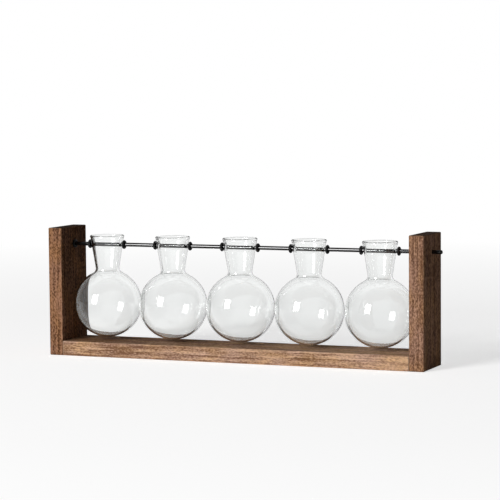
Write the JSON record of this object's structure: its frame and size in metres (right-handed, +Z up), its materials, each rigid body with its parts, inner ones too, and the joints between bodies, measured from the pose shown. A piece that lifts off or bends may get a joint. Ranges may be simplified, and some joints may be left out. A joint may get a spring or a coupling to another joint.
{
  "type": "propagation vase",
  "caption": "Wooden U-shaped stand with a rod on which round glass bulb vases hang by their flared necks between rubber rings, for rooting cuttings in water.",
  "frame": {"origin": "on the table plane, under the middle of the stand", "axes": "+X along the rod to the viewer's right, +Y to the back (the wall side), +Z up"},
  "size_m": [0.42, 0.069, 0.13],
  "materials": {
    "stained_wood": "satin",
    "dowel_wood": "matte",
    "rod_black": "gloss",
    "clear_glass": "gloss",
    "ring_rubber": "matte",
    "plate_steel": "satin",
    "screw_steel": "satin"
  },
  "bodies": {
    "stand": {"shelf_board": "stained_wood", "hanging_rod": "rod_black", "left_upright": "stained_wood", "left_end_ring": "ring_rubber", "left_hanger_plate": "plate_steel", "left_front_dowel": "dowel_wood", "left_back_dowel": "dowel_wood", "left_lower_screw": "screw_steel", "left_upper_screw": "screw_steel", "right_upright": "stained_wood", "right_end_ring": "ring_rubber", "right_hanger_plate": "plate_steel", "right_front_dowel": "dowel_wood", "right_back_dowel": "dowel_wood", "right_lower_screw": "screw_steel", "right_upper_screw": "screw_steel"},
    "vase_1": {"vase_1": "clear_glass"},
    "vase_1_left_ring": {"vase_1_left_ring": "ring_rubber"},
    "vase_1_right_ring": {"vase_1_right_ring": "ring_rubber"},
    "vase_2": {"vase_2": "clear_glass"},
    "vase_2_left_ring": {"vase_2_left_ring": "ring_rubber"},
    "vase_2_right_ring": {"vase_2_right_ring": "ring_rubber"},
    "vase_3": {"vase_3": "clear_glass"},
    "vase_3_left_ring": {"vase_3_left_ring": "ring_rubber"},
    "vase_3_right_ring": {"vase_3_right_ring": "ring_rubber"},
    "vase_4": {"vase_4": "clear_glass"},
    "vase_4_left_ring": {"vase_4_left_ring": "ring_rubber"},
    "vase_4_right_ring": {"vase_4_right_ring": "ring_rubber"},
    "vase_5": {"vase_5": "clear_glass"},
    "vase_5_left_ring": {"vase_5_left_ring": "ring_rubber"},
    "vase_5_right_ring": {"vase_5_right_ring": "ring_rubber"}
  },
  "joints": [
    {"name": "vase_1_swing", "type": "hinge", "parent": "stand", "child": "vase_1", "pos_m": [-0.147, 0, 0.11253], "axis": [1, 0, 0], "continuous": true},
    {"name": "vase_1_left_ring_slide", "type": "slide", "parent": "stand", "child": "vase_1_left_ring", "axis": [-1, 0, 0], "range_m": [0, 0.014]},
    {"name": "vase_1_right_ring_slide", "type": "slide", "parent": "stand", "child": "vase_1_right_ring", "axis": [1, 0, 0], "range_m": [0, 0.014]},
    {"name": "vase_2_swing", "type": "hinge", "parent": "stand", "child": "vase_2", "pos_m": [-0.0735, 0, 0.11253], "axis": [1, 0, 0], "continuous": true},
    {"name": "vase_2_left_ring_slide", "type": "slide", "parent": "stand", "child": "vase_2_left_ring", "axis": [-1, 0, 0], "range_m": [0, 0.014]},
    {"name": "vase_2_right_ring_slide", "type": "slide", "parent": "stand", "child": "vase_2_right_ring", "axis": [1, 0, 0], "range_m": [0, 0.014]},
    {"name": "vase_3_swing", "type": "hinge", "parent": "stand", "child": "vase_3", "pos_m": [0, 0, 0.11253], "axis": [1, 0, 0], "continuous": true},
    {"name": "vase_3_left_ring_slide", "type": "slide", "parent": "stand", "child": "vase_3_left_ring", "axis": [-1, 0, 0], "range_m": [0, 0.014]},
    {"name": "vase_3_right_ring_slide", "type": "slide", "parent": "stand", "child": "vase_3_right_ring", "axis": [1, 0, 0], "range_m": [0, 0.014]},
    {"name": "vase_4_swing", "type": "hinge", "parent": "stand", "child": "vase_4", "pos_m": [0.0735, 0, 0.11253], "axis": [1, 0, 0], "continuous": true},
    {"name": "vase_4_left_ring_slide", "type": "slide", "parent": "stand", "child": "vase_4_left_ring", "axis": [-1, 0, 0], "range_m": [0, 0.014]},
    {"name": "vase_4_right_ring_slide", "type": "slide", "parent": "stand", "child": "vase_4_right_ring", "axis": [1, 0, 0], "range_m": [0, 0.014]},
    {"name": "vase_5_swing", "type": "hinge", "parent": "stand", "child": "vase_5", "pos_m": [0.147, 0, 0.11253], "axis": [1, 0, 0], "continuous": true},
    {"name": "vase_5_left_ring_slide", "type": "slide", "parent": "stand", "child": "vase_5_left_ring", "axis": [-1, 0, 0], "range_m": [0, 0.014]},
    {"name": "vase_5_right_ring_slide", "type": "slide", "parent": "stand", "child": "vase_5_right_ring", "axis": [1, 0, 0], "range_m": [0, 0.014]}
  ]
}
